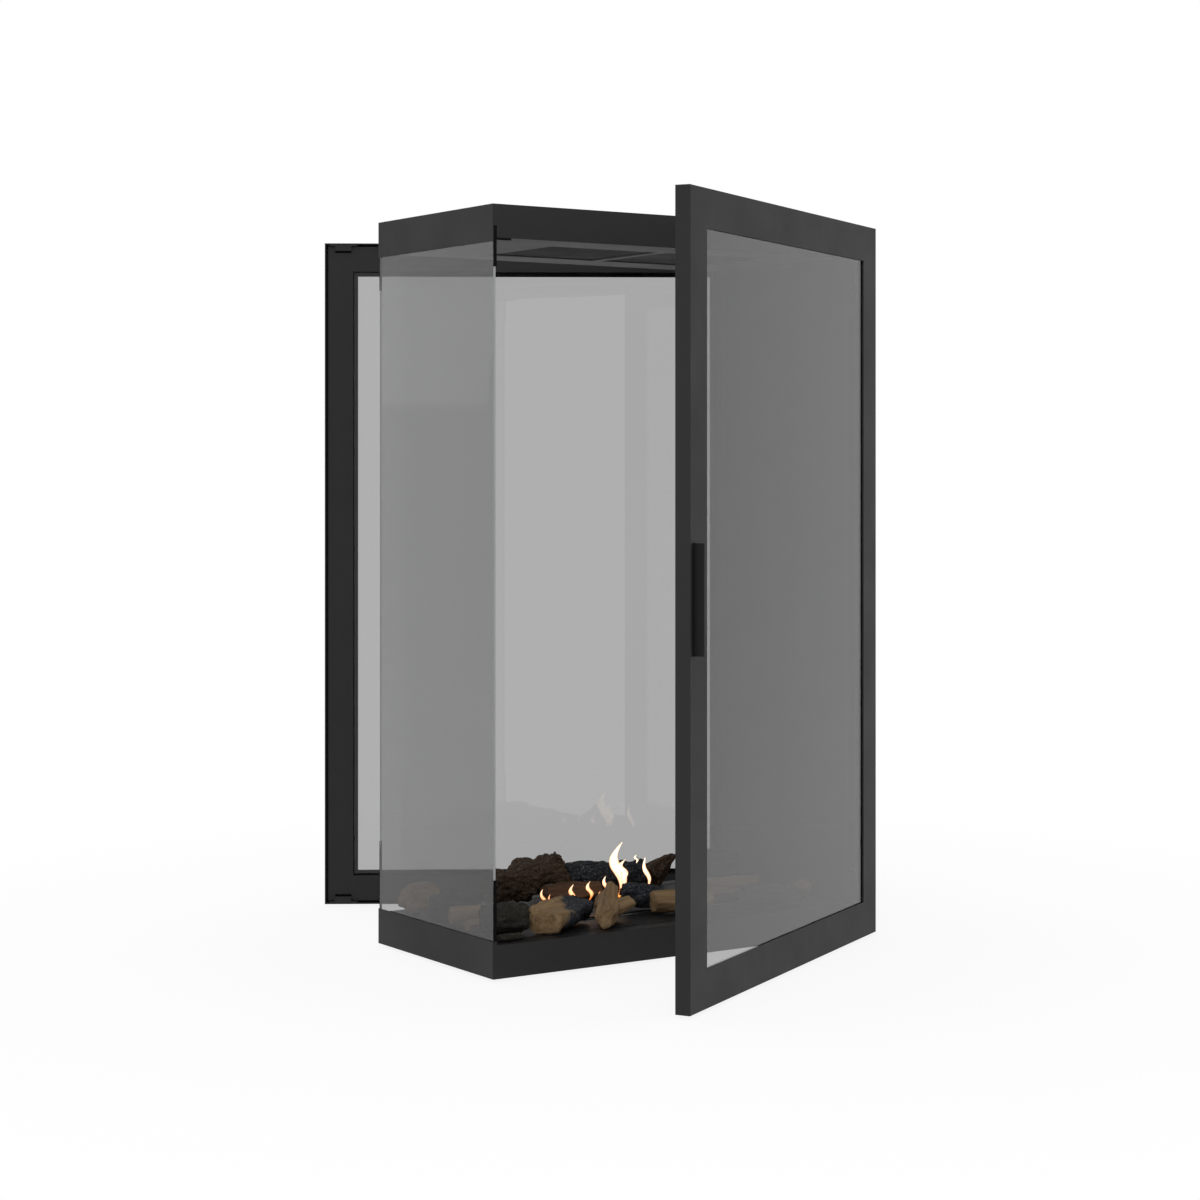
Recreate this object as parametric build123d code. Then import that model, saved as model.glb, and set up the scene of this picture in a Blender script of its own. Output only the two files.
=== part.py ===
from build123d import *
import os
from math import cos, pi, sin

# A see-through fireplace: a plinth and a hood joined by one solid end wall, a glass pane
# at the other end, and a framed glass door on each long side. Units are millimetres.
# X runs along the width towards the solid wall, -Y is the front, Z is up.
# The origin is on the floor, at the middle of the casing.

# Driving dimensions of the casing
width = 695.0
depth = 337.0
body_height = 1100.0
base_height = 5.0
plinth_lip = 47.0
hood_lip = 48.0
side_lip = 53.0
sheet = 2.0
fit_gap = 0.3
ledge_width = 10.0
ledge_sheet = 2.0
base_side_inset = (14.0, 52.0)
base_end_inset = 20.0
bolt_x = (-260.0, 220.0)
bolt_y = (-110.0, 110.0)
bolt_radius = 4.5

# Solid end wall and the corner recesses that the hinge stiles swing into
wall_thickness = 50.0
liner_sheet = 1.5
notch_width = 46.5
notch_depth = 18.5

# Side glass, its trims and its clips
pane = 4.0
trim_sheet = 1.5
trim_width = 7.0
pane_inset = 1.7
pane_end_gap = 0.2
seal_height = (2.0, 7.0)
seal_end_gap = 4.0
clip_sheet = 1.1
clip_gap = 0.3
clip_tab_sheet = 3.0
clip_leg = 3.0
clip_lengths = {"front_top": (-36.0, 22.0), "front_bottom": (0.2, 87.0),
                "rear_top": (-51.0, -0.2), "rear_bottom": (0.2, 103.0)}
clip_tab = (7.0, 31.0)

# Doors
door_thickness = 22.0
door_gap = 3.0
door_sheet = 2.0
frame_width = 54.0
groove = 3.5
plate_sheet = 1.5
plate_depth = 3.5
glass_reveal = 7.0
bead_width = 6.0
gasket_thickness = 0.5
glass_overlap = 12.0
spacer_size = 12.0
spacer_inset = 24.0
spacer_heights = (230.0, 400.0)
spacer_places = (-200.0, 0.0, 200.0)
pivot_from_edge = 30.7
pivot_from_face = 8.0
front_door_angle = 29.7
rear_door_angle = 32.0
rim_break = 0.6

# Hinges
arm_heights = (100.0, 1010.0)
arm_sheet = 5.0
arm_width = 10.0
arm_room = (1.0, 1.5)
pin_radius = 3.0
pin_fit = 0.02
bush_clearance = 0.05
bush_length = 13.0
bush_wall = 0.5
post_width = 30.0
post_depth = 20.0
post_gap = 2.0

# Handle and catches
handle_length = 150.0
handle_reach = 15.0
handle_sheet = 3.0
handle_from_edge = 11.0
handle_slot = 4.5
handle_foot = 12.0
handle_break = 0.4
catch_flange = (8.0, 54.0)
catch_body = (17.0, 44.0)
catch_flange_height = 2.2
catch_body_height = 8.0
catch_slot_height = 3.3
catch_proud = 1.5
striker_x = (17.0, 44.0)
striker_height = 12.0
striker_sheet = 3.0

# Hearth, burner and ceiling
hearth_sheet = 3.0
slot_insets = (26.0, 33.0)
slot_width = 2.5
slot_end_inset = 40.0
burner_x = (-225.0, 275.0)
burner_half_depth = 52.0
tank_wall = 1.5
tank_room = 1.0
tank_clearance = 4.0
flange_width = 8.0
top_sheet = 2.0
wool_half_depth = 48.0
wool_below_mouth = 14.0
mouth_x = (-205.0, 25.0)
mouth_half_width = 22.0
shutter_length = 238.0
shutter_half_width = 26.5
shutter_start = 7.0
shutter_drop = 1.0
rail_sheet = 4.0
rail_lip = 1.5
stud_slot = 9.0
stud_keyhole = 20.0
stud_from_end = 6.0
stud_stem = (2.5, 8.0)
stud_head = (4.0, 3.0)
baffle_size = (190.0, 180.0)
baffle_gap = 15.0
baffle_bearing = 6.0
baffle_sheet = 3.0
vent_slot = (140.0, 8.0)
vent_rows = 7
log_shares = (0.72, 1.0, 0.94, 0.66)
log_sides = 7
log_rest_gap = 0.2
cover_margin = 1.5

# Levels that follow
plinth_bottom = base_height
floor_z = plinth_bottom + plinth_lip
hood_top = plinth_bottom + body_height
ceiling_z = hood_top - hood_lip
left = -width / 2
right = width / 2
front = -depth / 2
rear = depth / 2
inner_wall_x = right - wall_thickness
shell_left = left + trim_width
pivot_x = right - pivot_from_edge
door_inner_y = front - door_gap
door_outer_y = door_inner_y - door_thickness
door_back_y = door_outer_y + door_sheet
plate_inner_y = door_inner_y - plate_depth
plate_back_y = plate_inner_y - plate_sheet
glass_y = (door_back_y + gasket_thickness, door_back_y + gasket_thickness + pane)
pivot_y = door_outer_y + pivot_from_face
handle_z = plinth_bottom + body_height / 2
tank_bottom = plinth_bottom + tank_clearance
burner_z = floor_z + tank_wall
shutter_z = floor_z - shutter_drop
cover_z = burner_z + top_sheet
catch_reach = door_sheet + fit_gap + catch_flange_height + catch_body_height


def block(x, y, z):
    """A box between two values on each axis."""
    size = [abs(pair[1] - pair[0]) for pair in (x, y, z)]
    middle = [(pair[0] + pair[1]) / 2 for pair in (x, y, z)]
    return Pos(*middle) * Box(*size)


def prism(points, low, high):
    """A plan outline raised from one level to another."""
    face = make_face(Polyline(*[(x, y) for x, y in points], close=True).edges())
    return Pos(0, 0, low) * extrude(face, high - low)


def casing_outline(inset, x_start=shell_left):
    """Plan outline with the two hinge recesses in its right corners."""
    x_low = x_start + inset
    x_notch = right - notch_width - inset
    x_high = right - inset
    y_edge = rear - inset
    y_notch = rear - notch_depth - inset
    return [(x_low, -y_edge), (x_notch, -y_edge), (x_notch, -y_notch), (x_high, -y_notch),
            (x_high, y_notch), (x_notch, y_notch), (x_notch, y_edge), (x_low, y_edge)]


def group(solids):
    """Several separate solids of one node."""
    return Compound(children=list(solids))


def both_ends(part):
    """A piece at the front and its mirror image at the rear."""
    return [part, mirror(part, about=Plane.XZ)]


def make_ledge(low, high):
    """Return flange round the inside of a shell."""
    outer = prism(casing_outline(sheet), low, high)
    return outer - prism(casing_outline(sheet + ledge_width), low, high)


def make_base():
    """Plate that stands on the floor, drilled for four floor bolts."""
    x = (left + base_side_inset[0], right - base_side_inset[1])
    plate = block(x, (front + base_end_inset, rear - base_end_inset), (0, base_height))
    for x in bolt_x:
        for y in bolt_y:
            plate -= Pos(x, y, base_height / 2) * Cylinder(bolt_radius, base_height * 2)
    return plate


def make_plinth():
    """Open tray whose lips show below the glass."""
    shell = prism(casing_outline(0), plinth_bottom, floor_z)
    shell -= prism(casing_outline(sheet), plinth_bottom + sheet, floor_z + 1)
    ledge_top = floor_z - hearth_sheet
    shell += make_ledge(ledge_top - ledge_sheet, ledge_top)
    for x in bolt_x:
        for y in bolt_y:
            shell -= Pos(x, y, plinth_bottom) * Cylinder(bolt_radius, sheet * 4)
    return shell


def make_hood():
    """Inverted tray with vent slots above the two ceiling openings."""
    shell = prism(casing_outline(0), ceiling_z, hood_top)
    shell -= prism(casing_outline(sheet), ceiling_z - 1, hood_top - sheet)
    shell += make_ledge(ceiling_z + ledge_sheet, ceiling_z + 2 * ledge_sheet)
    pitch = baffle_size[1] / vent_rows
    for side in (-1, 1):
        x = side * (baffle_size[0] + baffle_gap) / 2
        for row in range(vent_rows):
            y = (row - (vent_rows - 1) / 2) * pitch
            shell -= Pos(x, y, hood_top) * Box(vent_slot[0], vent_slot[1], sheet * 4)
    return shell


def make_side_trim(low, high, notch):
    """Folded channel that covers the end of the side glass."""
    x = (left, left + trim_width)
    trim = block((left, left + trim_sheet), (front, rear), (low, high))
    for flange in both_ends(block(x, (front, front + trim_sheet), (low, high))):
        trim += flange
    closed = (low, low + trim_sheet) if notch is None else (high - trim_sheet, high)
    trim += block(x, (front, rear), closed)
    if notch:
        x_cut = (left + trim_sheet, left + trim_width + 1)
        trim -= block(x_cut, (front - 1, front + trim_sheet), notch)
    return trim


def make_side_glass():
    x = (left + pane_inset, left + pane_inset + pane)
    inset = trim_sheet + pane_end_gap
    z = (plinth_bottom + seal_height[1], hood_top - seal_height[1])
    return block(x, (front + inset, rear - inset), z)


def make_glass_seals():
    """Setting strips that carry and hold the pane inside the two trims."""
    x = (left + pane_inset, left + pane_inset + pane)
    y = (front + seal_end_gap, rear - seal_end_gap)
    near, far = seal_height
    levels = (plinth_bottom + near, plinth_bottom + far), (hood_top - far, hood_top - near)
    return group(block(x, y, z) for z in levels)


def make_clip(z, with_tab):
    """Angle that caps the front edge of the pane over a short length."""
    x_high = left + trim_width - pane_end_gap
    x_low = left + trim_sheet + pane_end_gap / 2
    y_low = front + clip_gap
    cap = block((x_low, x_high), (y_low, y_low + clip_sheet), z)
    leg_x = (left + pane_inset + pane + pane_end_gap / 2, x_high)
    y = (y_low, front + clip_leg)
    clip = cap + block(leg_x, y, z)
    if with_tab:
        x = (left + clip_tab[0] - 1, left + clip_tab[1])
        clip += block(x, y, (ceiling_z - clip_tab_sheet, ceiling_z))
    return clip


def make_clips(end):
    """The upper and the lower clip of one vertical edge of the pane."""
    clips = []
    for name, datum in (("top", hood_top - side_lip), ("bottom", plinth_bottom + side_lip)):
        low, high = clip_lengths[f"{end}_{name}"]
        clip = make_clip((datum + low, datum + high), name == "top" and end == "front")
        clips.append(clip if end == "front" else mirror(clip, about=Plane.XZ))
    return clips


def make_wall_casing():
    """Folded sheet round the outside of the solid end wall, slotted for the hinge arms."""
    outer = prism(casing_outline(0, inner_wall_x), floor_z, ceiling_z)
    hollow = casing_outline(sheet, inner_wall_x - 2 * sheet)
    wall = outer - prism(hollow, floor_z - 1, ceiling_z + 1)
    for z in arm_heights:
        x = (pivot_x - arm_width / 2 - 1, pivot_x + arm_width / 2 + 1)
        y = (front + notch_depth - 1, front + notch_depth + sheet + 1)
        for slot in both_ends(block(x, y, (z - arm_sheet / 2 - 1, z + arm_sheet / 2 + 1))):
            wall -= slot
    return wall


def make_wall_liner():
    x = (inner_wall_x, inner_wall_x + liner_sheet)
    return block(x, (front + sheet, rear - sheet), (floor_z, ceiling_z))


def post_box(inset=0.0):
    x = (pivot_x - post_width / 2 + inset, pivot_x + post_width / 2 - inset)
    start = front + notch_depth + sheet + post_gap
    return x, (start + inset, start + post_depth - inset)


def make_hinge_posts():
    """Square tubes inside the end wall that carry the hood and both doors."""
    outer = block(*post_box(), (floor_z, ceiling_z))
    return group(both_ends(outer - block(*post_box(sheet), (floor_z - 1, ceiling_z + 1))))


def make_insulation():
    """Board between the two skins of the end wall, between the posts."""
    y_limit = post_box()[1][1] + 1
    x = (inner_wall_x + liner_sheet, right - sheet)
    return block(x, (y_limit, -y_limit), (floor_z + 1, ceiling_z - 1))


def make_hearth():
    """Floor of the fire chamber, with a burner opening and a pair of slots per side."""
    plate = prism(casing_outline(sheet + fit_gap), floor_z - hearth_sheet, floor_z)
    x = (burner_x[0] - tank_room, burner_x[1] + tank_room)
    y_limit = burner_half_depth + tank_room
    y = (-y_limit, y_limit)
    plate -= block(x, y, (floor_z - 10, floor_z + 10))
    for inset in slot_insets:
        y_slot = (front + inset - slot_width / 2, front + inset + slot_width / 2)
        x_slot = (left + slot_end_inset, inner_wall_x - slot_end_inset)
        slot = block(x_slot, y_slot, (floor_z - 10, floor_z + 10))
        for cut in both_ends(slot):
            plate -= cut
    return plate


def make_tank():
    """Fuel tray that hangs from the hearth by its flange."""
    y = (-burner_half_depth, burner_half_depth)
    top = floor_z + tank_wall
    tank = block(burner_x, y, (tank_bottom, top))
    wide_x = (burner_x[0] - flange_width, burner_x[1] + flange_width)
    wide_y = (y[0] - flange_width, y[1] + flange_width)
    tank += block(wide_x, wide_y, (floor_z, top))
    inner_x = (burner_x[0] + tank_wall, burner_x[1] - tank_wall)
    inner_y = (y[0] + tank_wall, y[1] - tank_wall)
    return tank - block(inner_x, inner_y, (tank_bottom + tank_wall, top + 1))


def make_burner_top():
    """Cover of the tank, with the flame mouth and the keyhole of the shutter stud."""
    x = (burner_x[0] - flange_width, burner_x[1] + flange_width)
    y_limit = burner_half_depth + flange_width
    top = block(x, (-y_limit, y_limit), (burner_z, burner_z + top_sheet))
    cut_z = (burner_z - 1, burner_z + top_sheet + 1)
    top -= block(mouth_x, (-mouth_half_width, mouth_half_width), cut_z)
    keyhole = (mouth_x[1] - 1, mouth_x[1] + stud_keyhole)
    return top - block(keyhole, (-stud_slot / 2, stud_slot / 2), cut_z)


def make_wool():
    """Absorbent block under the flame mouth."""
    x = (mouth_x[0] - flange_width, mouth_x[1] + flange_width)
    y = (-wool_half_depth, wool_half_depth)
    return block(x, y, (tank_bottom + tank_wall, floor_z - wool_below_mouth))


def make_shutter():
    x_low = mouth_x[1] + shutter_start
    y = (-shutter_half_width, shutter_half_width)
    return block((x_low, x_low + shutter_length), y, (shutter_z, shutter_z + top_sheet))


def make_stud():
    """Headed stud that is pushed with a hook to slide the shutter."""
    x = mouth_x[1] + shutter_start + stud_from_end
    low = shutter_z + top_sheet
    stem_radius, stem_height = stud_stem
    stem = Pos(x, 0, low + stem_height / 2) * Cylinder(stem_radius, stem_height)
    return stem + Pos(x, 0, low + stem_height) * Cylinder(*stud_head)


def make_shutter_rails():
    """Two angles under the cover that guide the shutter."""
    x = (burner_x[0] + 2 * tank_wall, burner_x[1] - 2 * tank_wall)
    side = shutter_half_width + fit_gap
    lip_top = shutter_z - fit_gap
    rail = block(x, (side, side + rail_sheet), (lip_top - rail_lip, burner_z))
    rail += block(x, (side - rail_sheet, side), (lip_top - rail_lip, lip_top))
    return group([rail, mirror(rail, about=Plane.XZ)])


def baffle_boxes(margin, z):
    """Plan areas of the two ceiling openings, widened by a margin."""
    half = baffle_gap / 2
    y = (-baffle_size[1] / 2 - margin, baffle_size[1] / 2 + margin)
    near, far = half - margin, half + baffle_size[0] + margin
    return [block((-far, -near), y, z), block((near, far), y, z)]


def make_ceiling():
    panel = prism(casing_outline(sheet + fit_gap), ceiling_z, ceiling_z + ledge_sheet)
    for opening in baffle_boxes(0, (ceiling_z - 1, ceiling_z + 5)):
        panel -= opening
    return panel


def make_baffles():
    """Two dark plates that lie over the ceiling openings."""
    low = ceiling_z + ledge_sheet
    return group(baffle_boxes(baffle_bearing, (low, low + baffle_sheet)))


def make_strikers():
    """Steel pads behind the lips that the door magnets pull on."""
    pads = []
    x = (left + striker_x[0], left + striker_x[1])
    y = (front + sheet, front + sheet + striker_sheet)
    near = striker_height / 2
    far = near + striker_height
    for z in ((plinth_bottom + near, plinth_bottom + far), (hood_top - far, hood_top - near)):
        pads += both_ends(block(x, y, z))
    return group(pads)


def hinge_arm(z):
    """Flat arm from a post to the pivot, with a rounded end."""
    y_start = post_box()[1][0]
    half = arm_width / 2
    arm = block((pivot_x - half, pivot_x + half), (pivot_y, y_start),
                (z - arm_sheet / 2, z + arm_sheet / 2))
    arm += Pos(pivot_x, pivot_y, z) * Cylinder(half, arm_sheet)
    return arm - Pos(pivot_x, pivot_y, z) * Cylinder(pin_radius + pin_fit, arm_sheet * 2)


def make_hinge_arms():
    arms = []
    for z in arm_heights:
        arms += both_ends(hinge_arm(z))
    return group(arms)


def make_hinge_pins():
    pins = []
    length = arm_sheet + 2 * bush_length
    for z in arm_heights:
        pins += both_ends(Pos(pivot_x, pivot_y, z) * Cylinder(pin_radius, length))
    return group(pins)


# The door is made closed on the front, then turned about its pivot to the open pose.
def door_block(margin, y, low=plinth_bottom, high=hood_top):
    """A slab of the door's outline, smaller by a margin all round."""
    return block((left + margin, right - margin), y, (low + margin, high - margin))


def arm_cuts():
    """Room in the door for the arms, through the whole swing."""
    reach = arm_width / 2 + arm_room[0]
    y = (pivot_y - reach, door_inner_y + 1)
    half = arm_sheet / 2 + arm_room[1]
    return [block((pivot_x - reach, right + 1), y, (z - half, z + half)) for z in arm_heights]


def door_pan():
    """Folded outer frame: a face with a window and a lip all round."""
    pan = door_block(0, (door_outer_y, door_inner_y))
    pan -= door_block(door_sheet, (door_back_y, door_inner_y + 1))
    pan -= door_block(frame_width, (door_outer_y - 1, door_inner_y))
    rim = pan.edges().filter_by(Axis.Y, reverse=True).group_by(Axis.Y)[0]
    outer_rim = [e for e in rim if abs(e.center().X) > right - 1
                 or abs(e.center().Z - hood_top) < 1 or abs(e.center().Z - plinth_bottom) < 1]
    pan = chamfer(outer_rim, rim_break)
    slot_x = (left + handle_from_edge - handle_slot, left + handle_from_edge + handle_sheet)
    slot_z = (handle_z - handle_length / 2 - fit_gap, handle_z + handle_length / 2 + fit_gap)
    pan -= block(slot_x, (door_outer_y - 1, door_outer_y + door_sheet + 1), slot_z)
    for cut in arm_cuts():
        pan -= cut
    return pan


def stile_regions():
    """Mitred regions of the two upright members."""
    reach = frame_width + 1
    regions = []
    for side in (-1, 1):
        outer = side * (width / 2 + 1)
        inner = side * (width / 2 - reach)
        points = [(outer, plinth_bottom - 1), (inner, plinth_bottom + reach),
                  (inner, hood_top - reach), (outer, hood_top + 1)]
        face = make_face(Polyline(*[(x, 0, z) for x, z in points], close=True).edges())
        slab = extrude(face, door_thickness * 2, dir=(0, -1, 0), both=True)
        regions.append(Pos(0, door_outer_y, 0) * slab)
    return regions


def make_door_stiles():
    pan = door_pan()
    return [(pan & region).solids()[0] for region in stile_regions()]


def make_door_rails():
    pan = door_pan()
    for region in stile_regions():
        pan -= region
    return list(pan.solids())


def make_inner_frame():
    """Flat plate behind the glass, with a groove inside the lip and a slot past each catch."""
    y = (plate_back_y, plate_inner_y)
    plate = door_block(door_sheet + groove, y)
    plate -= door_block(frame_width - glass_reveal, (y[0] - 1, y[1] + 1))
    for cut in arm_cuts():
        plate -= cut
    slot_x = (left + catch_body[0], left + catch_body[1])
    for level, up in ((hood_top, -1), (plinth_bottom, 1)):
        tip = level + up * catch_reach
        plate -= block(slot_x, (y[0] - 1, y[1] + 1), sorted((tip, tip + up * catch_slot_height)))
    return [plate]


def make_door_glass():
    return [door_block(frame_width - glass_overlap, glass_y)]


def make_door_gasket():
    """Flat tape between the face and the glass."""
    y = (door_back_y, glass_y[0])
    outer = door_block(frame_width - glass_overlap + 1, y)
    return [outer - door_block(frame_width - 1, (y[0] - 1, y[1] + 1))]


def make_door_bead():
    """Glazing bead that holds the glass from behind, inside the edge of the plate."""
    y = (glass_y[1], plate_back_y)
    inner_margin = frame_width - glass_reveal
    outer = door_block(inner_margin - bead_width, y)
    return [outer - door_block(inner_margin, (y[0] - 1, y[1] + 1))]


def make_door_spacers():
    """Blocks that tie the inner plate to the face."""
    y = (door_back_y, plate_back_y)
    half = spacer_size / 2
    middle = spacer_inset + half
    stile_levels = [plinth_bottom + z for z in spacer_heights]
    stile_levels += [hood_top - z for z in spacer_heights]
    places = [(x, z) for x in (left + middle, right - middle) for z in stile_levels]
    places += [(x, z) for x in spacer_places for z in (plinth_bottom + middle, hood_top - middle)]
    return [block((x - half, x + half), y, (z - half, z + half)) for x, z in places]


def make_door_handle():
    """Upright blade that stands out of a slot near the free edge, with a hidden foot."""
    x_blade = (left + handle_from_edge, left + handle_from_edge + handle_sheet)
    z = (handle_z - handle_length / 2, handle_z + handle_length / 2)
    y_foot = (door_back_y, door_back_y + sheet)
    blade = block(x_blade, (door_outer_y - handle_reach, y_foot[1]), z)
    blade = chamfer(blade.edges().group_by(Axis.Y)[0], handle_break)
    foot = block((x_blade[1] - 1, x_blade[1] + handle_foot), y_foot, z)
    return [blade + foot]


def make_door_catches():
    """T-shaped magnet holders at both free corners of the inner face."""
    catches = []
    y = (plate_inner_y, door_inner_y + catch_proud)
    flange_x = (left + catch_flange[0], left + catch_flange[1])
    body_x = (left + catch_body[0], left + catch_body[1])
    for level, up in ((hood_top, -1), (plinth_bottom, 1)):
        outer = level + up * (door_sheet + fit_gap)
        shoulder = outer + up * catch_flange_height
        tip = level + up * catch_reach
        catch = block(flange_x, y, sorted((outer, shoulder)))
        catch += block(body_x, y, sorted((shoulder, tip)))
        x_magnet = (body_x[0] + 2, body_x[1] - 2)
        z_magnet = sorted((outer, level + up * (door_sheet + groove - fit_gap)))
        catches.append(catch + block(x_magnet, (door_back_y, y[0]), z_magnet))
    return catches


def make_door_bushes():
    """Bored blocks above and below each arm, which turn on the pins."""
    bushes = []
    half = arm_width / 2 + bush_wall
    x = (pivot_x - half, right - door_sheet)
    y = (door_back_y, pivot_y + half)
    for z in arm_heights:
        for side in (-1, 1):
            near = z + side * (arm_sheet / 2 + fit_gap)
            far = near + side * bush_length
            bush = block(x, y, sorted((near, far)))
            hole = Cylinder(pin_radius + bush_clearance, 4 * bush_length)
            bushes.append(bush - Pos(pivot_x, pivot_y, z) * hole)
    return bushes


# Logs: each is a short loft of uneven sections along its length. Each is then moved up or
# down until it rests on the hearth or on the cover of the burner.
def log_section(centre, along, radius, flatness, seed):
    """One uneven section across a log."""
    plane = Plane(origin=centre, x_dir=(along[1], -along[0], 0), z_dir=along)
    points = []
    for k in range(log_sides):
        angle = 2 * pi * k / log_sides + 0.3 * sin(seed * 1.7)
        reach = radius * (1 + 0.16 * sin(seed * 3.1 + 2.3 * k))
        points.append((reach * cos(angle), flatness * reach * sin(angle)))
    return plane * make_face(Polyline(*points, close=True).edges())


def make_log(start, end, radius, flatness=1.0, seed=1.0):
    """A log between two points: full in the middle and narrower at its ends."""
    a, b = Vector(*start), Vector(*end)
    along = (b - a).normalized()
    faces = []
    for step, share in enumerate(log_shares):
        centre = a + (b - a) * (step / 3)
        centre += Vector(0, 0, 2.0 * sin(seed + 2 * step))
        faces.append(log_section(centre, (along.X, along.Y, along.Z), radius * share,
                                 flatness, seed + 0.6 * step))
    return loft(faces, ruled=True)


def support_level(point):
    """Height of what lies under a point: the cover of the burner, or the hearth."""
    reach = flange_width + cover_margin
    over_x = burner_x[0] - reach <= point.X <= burner_x[1] + reach
    over_y = abs(point.Y) <= burner_half_depth + reach
    return cover_z if over_x and over_y else floor_z


def settle(log):
    """Moves a log straight up or down until it rests on what lies under it."""
    points = [edge @ (k / 8) for edge in log.edges() for k in range(9)]
    drop = min(point.Z - support_level(point) for point in points)
    return Pos(0, 0, log_rest_gap - drop) * log


# Centre line, radius, flatness and seed of each log, before it is settled
log_table = {
    "log_front_left": [((-322, -96, 77), (-258, -114, 76), 23, 1.0, 1.0)],
    "log_front_centre": [((-246, -136, 77), (-136, -74, 82), 25, 1.0, 2.0)],
    "log_front_right": [((-142, -142, 72), (-92, -84, 84), 20, 0.95, 3.0),
                        ((-112, -106, 76), (-84, -76, 106), 12, 1.0, 3.5),
                        ((-118, -114, 74), (-62, -96, 80), 13, 1.0, 3.8)],
    "log_front_far": [((-12, -84, 72), (82, -108, 70), 17, 0.95, 4.0)],
    "log_left_tan": [((-330, -22, 84), (-243, -46, 86), 18, 1.0, 5.0)],
    "log_back_left": [((-190, 97, 90), (-56, 118, 90), 34, 1.0, 6.0)],
    "log_back_centre": [((-42, 122, 80), (104, 116, 82), 26, 1.0, 7.0)],
    "log_back_pointed": [((116, 112, 76), (172, 120, 108), 20, 1.0, 8.0)],
    "log_middle_split": [((-122, 48, 80), (-14, 60, 80), 15, 0.9, 9.0)],
    "log_middle_grey": [((-40, -38, 84), (26, -56, 80), 18, 1.0, 10.0)],
    "log_right_plank": [((118, -14, 76), (222, -34, 76), 17, 0.9, 11.0)],
    "log_right_bark": [((196, 110, 82), (288, 116, 80), 26, 1.0, 12.0)],
    "logs_right_front": [((136, -104, 73), (208, -124, 72), 18, 1.0, 13.0),
                         ((226, -116, 70), (286, -74, 72), 15, 1.0, 14.0)],
    "logs_left_rear": [((-322, 112, 78), (-274, 128, 78), 23, 1.0, 15.0),
                       ((-326, 40, 82), (-248, 30, 84), 24, 1.0, 16.0)],
    "kindling": [((-326, -146, 60), (-286, -148, 60), 7, 1.0, 17.0),
                 ((-326, -66, 66), (-262, -66, 64), 10, 1.0, 18.0),
                 ((-208, 10, 66), (-190, 52, 66), 8, 1.0, 19.0)],
}


# Logs whose pieces are branches of one solid
forked_logs = ("log_front_right",)


def write(name, part):
    export_step(part, f"parts/{name}.step")


def write_casing():
    """The pieces of the fixed casing."""
    write("base_plate", make_base())
    write("plinth_shell", make_plinth())
    write("plinth_side_trim", make_side_trim(plinth_bottom, plinth_bottom + side_lip, None))
    hood_low = hood_top - side_lip
    notch = (hood_low - 1, hood_low + clip_lengths["front_top"][1] + fit_gap)
    write("hood_side_trim", make_side_trim(hood_low, hood_top, notch))
    write("hood_shell", make_hood())
    write("ceiling_panel", make_ceiling())
    write("ceiling_baffles", make_baffles())
    write("wall_casing", make_wall_casing())
    write("wall_liner", make_wall_liner())
    write("wall_insulation", make_insulation())
    write("hinge_posts", make_hinge_posts())
    write("hinge_arms", make_hinge_arms())
    write("hinge_pins", make_hinge_pins())
    write("catch_strikers", make_strikers())
    write("side_glass", make_side_glass())
    write("side_glass_seals", make_glass_seals())
    write("glass_clips", group(make_clips("front") + make_clips("rear")))
    write("hearth_plate", make_hearth())


def write_burner():
    """The burner that hangs in the hearth, and its shutter."""
    write("burner_tank", make_tank())
    write("burner_top", make_burner_top())
    write("burner_wool", make_wool())
    write("shutter_rails", make_shutter_rails())
    write("burner_shutter", make_shutter())
    write("shutter_stud", make_stud())


def write_logs():
    for name, pieces in log_table.items():
        made = [make_log(*piece) for piece in pieces]
        if name in forked_logs:
            made = (made[0] + made[1:]).solids()
        write(name, group(settle(log) for log in made))


def write_doors():
    """Both doors, each turned about its own pivot to the open pose."""
    makers = {"stiles": make_door_stiles, "rails": make_door_rails,
              "inner_frame": make_inner_frame, "glass": make_door_glass,
              "gasket": make_door_gasket, "bead": make_door_bead,
              "spacers": make_door_spacers, "handle": make_door_handle,
              "catches": make_door_catches, "hinge_bushes": make_door_bushes}
    front_pivot = Axis((pivot_x, pivot_y, 0), (0, 0, 1))
    rear_pivot = Axis((pivot_x, -pivot_y, 0), (0, 0, 1))
    for name, maker in makers.items():
        solids = maker()
        turned = [s.rotate(front_pivot, front_door_angle) for s in solids]
        write(f"front_door_{name}", group(turned))
        mirrored = [mirror(s, about=Plane.XZ) for s in solids]
        turned = [s.rotate(rear_pivot, -rear_door_angle) for s in mirrored]
        write(f"rear_door_{name}", group(turned))


os.makedirs("parts", exist_ok=True)
write_casing()
write_burner()
write_logs()
write_doors()
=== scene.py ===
import math
import random

import bpy
from mathutils import Matrix, Vector


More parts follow.
